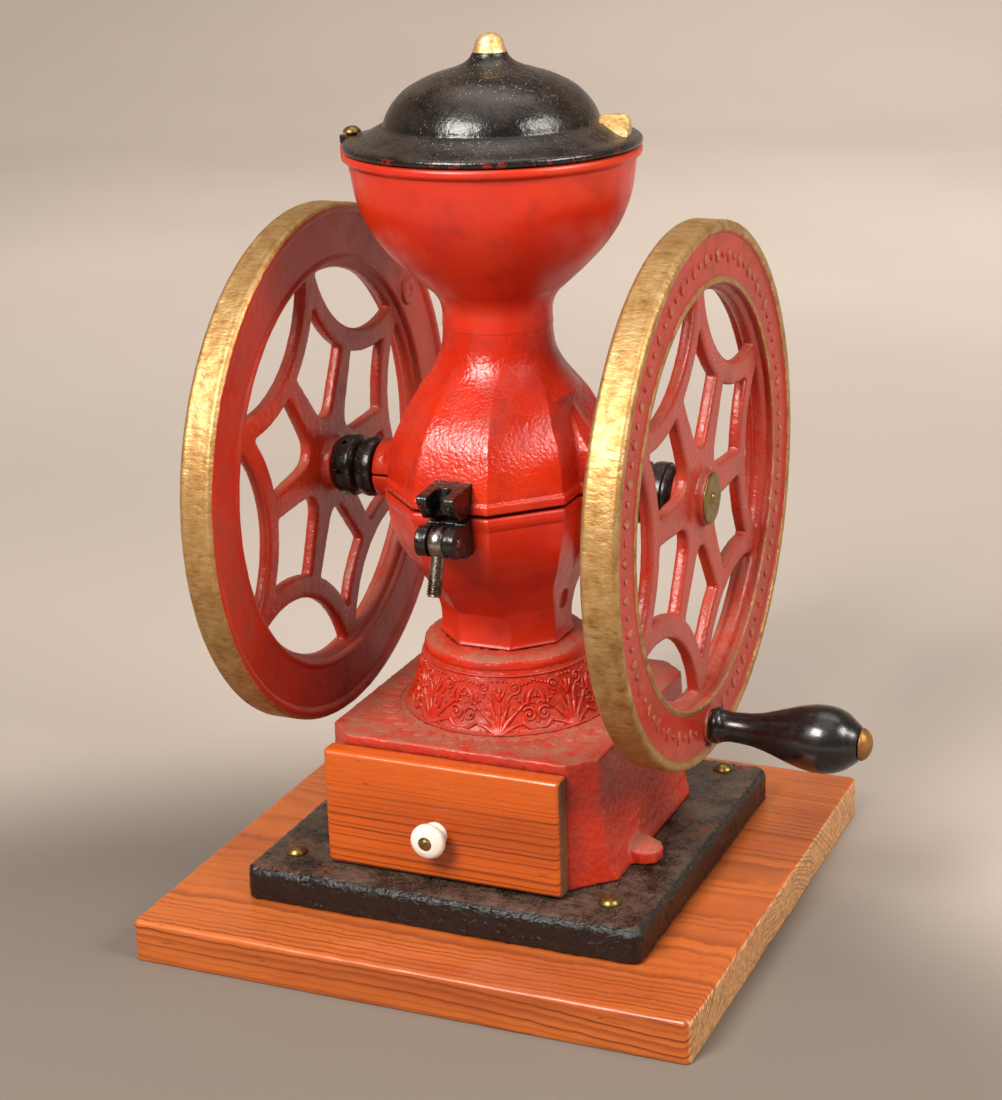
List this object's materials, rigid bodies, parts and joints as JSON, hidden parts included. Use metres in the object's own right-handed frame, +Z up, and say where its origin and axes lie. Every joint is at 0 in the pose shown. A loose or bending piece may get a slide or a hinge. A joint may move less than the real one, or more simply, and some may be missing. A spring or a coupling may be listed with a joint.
{
  "type": "two-wheel coffee mill",
  "caption": "Antique cast-iron counter coffee mill with pierced flywheels, a lidded hopper, a clamped split grinding body and a wooden drawer, on a wooden board.",
  "frame": {"origin": "on the underside of the wooden board, below the axis of the hopper and the body", "axes": "+X along the shaft towards the wheel with the handle, -Y towards the drawer front, +Z up"},
  "size_m": [0.3488, 0.296, 0.4564],
  "materials": {
    "red_enamel": "glossy hand-painted enamel over cast iron, worn and dusty",
    "gold_paint": "brushed gold paint over cast iron",
    "black_enamel": "satin black paint over cast iron",
    "rough_black_iron": "rough sand-cast, painted black",
    "pine": "varnished softwood with open grain",
    "drawer_wood": "varnished softwood with dark grain lines",
    "ebonised_wood": "turned, stained black and polished",
    "porcelain": "glossy white glaze",
    "brass": "aged, satin",
    "steel": "dull, lightly rusted",
    "grinding_iron": "ground teeth, bare"
  },
  "bodies": {
    "stand": {"wood_board": "pine", "sub_plate": "rough_black_iron", "plate_screw_front_right": "brass", "plate_screw_front_left": "brass", "plate_screw_back_right": "brass", "plate_screw_back_left": "brass", "base_casting": "red_enamel", "runner_right": "pine", "runner_left": "pine", "lower_shell": "red_enamel", "fixed_burr": "grinding_iron", "clamp_bracket": "black_enamel", "clamp_pin": "steel", "rear_hinge_bracket": "black_enamel", "rear_hinge_pin": "steel"},
    "drawer_unit": {"drawer_front": "drawer_wood", "drawer_side_right": "pine", "drawer_side_left": "pine", "drawer_back": "pine", "drawer_bottom": "pine", "drawer_knob": "porcelain", "knob_screw": "brass"},
    "hopper_unit": {"upper_shell": "red_enamel", "hopper": "red_enamel", "clamp_lug": "black_enamel", "rear_hinge_lug": "black_enamel", "lid_pivot_screw": "brass"},
    "lid_unit": {"lid": "black_enamel", "lid_knob": "gold_paint", "thumb_tab": "gold_paint"},
    "swing_bolt_unit": {"swing_bolt": "steel"},
    "rotor": {"shaft": "steel", "right_rim": "gold_paint", "right_web": "red_enamel", "left_rim": "gold_paint", "left_web": "red_enamel", "right_hub_cap": "gold_paint", "left_hub_cap": "gold_paint", "right_key": "steel", "left_key": "steel", "thrust_collar": "black_enamel", "lock_collar": "black_enamel", "rotating_burr": "grinding_iron", "auger": "grinding_iron", "handle_bolt": "steel", "handle_washer": "steel", "handle_tip": "brass"},
    "adjuster": {"adjusting_nut": "black_enamel"},
    "grip": {"handle_grip": "ebonised_wood"}
  },
  "joints": [
    {"name": "shaft_spin", "type": "hinge", "parent": "stand", "child": "rotor", "pos_m": [0, 0, 0.2316], "axis": [1, 0, 0], "continuous": true},
    {"name": "grip_spin", "type": "hinge", "parent": "rotor", "child": "grip", "pos_m": [0.15, 0, 0.1106], "axis": [1, 0, 0], "continuous": true},
    {"name": "adjuster_spin", "type": "hinge", "parent": "rotor", "child": "adjuster", "pos_m": [-0.086, 0, 0.2316], "axis": [1, 0, 0], "continuous": true},
    {"name": "drawer_slide", "type": "slide", "parent": "stand", "child": "drawer_unit", "axis": [0, -1, 0], "range_m": [0, 0.108]},
    {"name": "hopper_tilt", "type": "hinge", "parent": "stand", "child": "hopper_unit", "pos_m": [0, 0.0745, 0.2316], "axis": [-1, 0, 0], "range_deg": [0, 70]},
    {"name": "lid_swing", "type": "hinge", "parent": "hopper_unit", "child": "lid_unit", "pos_m": [-0.0715, -0.01, 0.404], "axis": [0, 0, 1], "range_deg": [0, 120]},
    {"name": "bolt_swing", "type": "hinge", "parent": "stand", "child": "swing_bolt_unit", "pos_m": [0.0016, -0.082, 0.2233], "axis": [-1, 0, 0], "range_deg": [-29, 160]}
  ]
}
